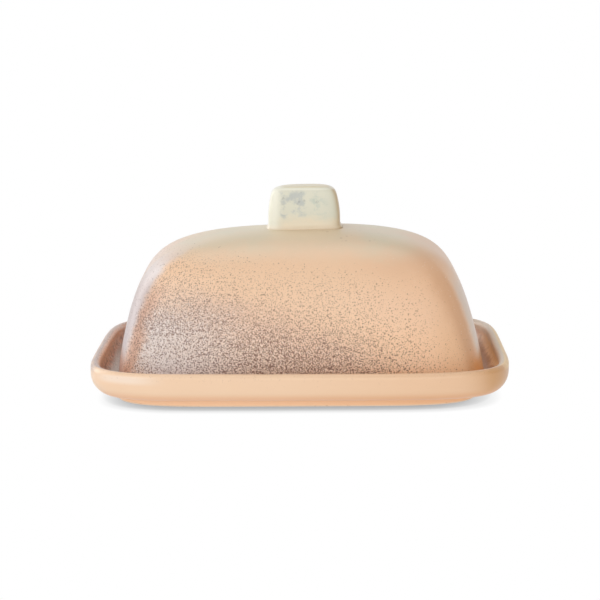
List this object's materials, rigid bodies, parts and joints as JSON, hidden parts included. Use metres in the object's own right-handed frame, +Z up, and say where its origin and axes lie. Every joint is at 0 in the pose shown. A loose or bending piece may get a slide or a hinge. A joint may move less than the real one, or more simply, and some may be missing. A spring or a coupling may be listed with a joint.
{
  "type": "covered butter dish",
  "caption": "Low rounded-rectangle stoneware tray with an upturned rim, and a tapered hollow lid with a block knob that stands inside it and covers butter.",
  "frame": {"origin": "on the surface the dish stands on, under the middle of the tray", "axes": "+X along the dish's length, to the right seen from the front; +Y across it, to the back; +Z up, the way the lid lifts"},
  "size_m": [0.205, 0.13, 0.0984],
  "materials": {
    "tray_glaze": "satin peach glaze outside, reddish-brown speckled glaze inside the rim, bare clay foot ring",
    "lid_glaze": "satin reactive glaze, grey-green cream on the crown, peach below, dark specks and a lilac-grey haze low on one end",
    "knob_glaze": "satin ivory cream glaze with a faint blue-grey mottle"
  },
  "bodies": {
    "tray": {"tray": "tray_glaze"},
    "lid": {"lid": "lid_glaze", "knob": "knob_glaze"}
  },
  "joints": [
    {"name": "lid_lift", "type": "slide", "parent": "tray", "child": "lid", "axis": [0, 0, 1], "range_m": [0, 0.12]}
  ]
}
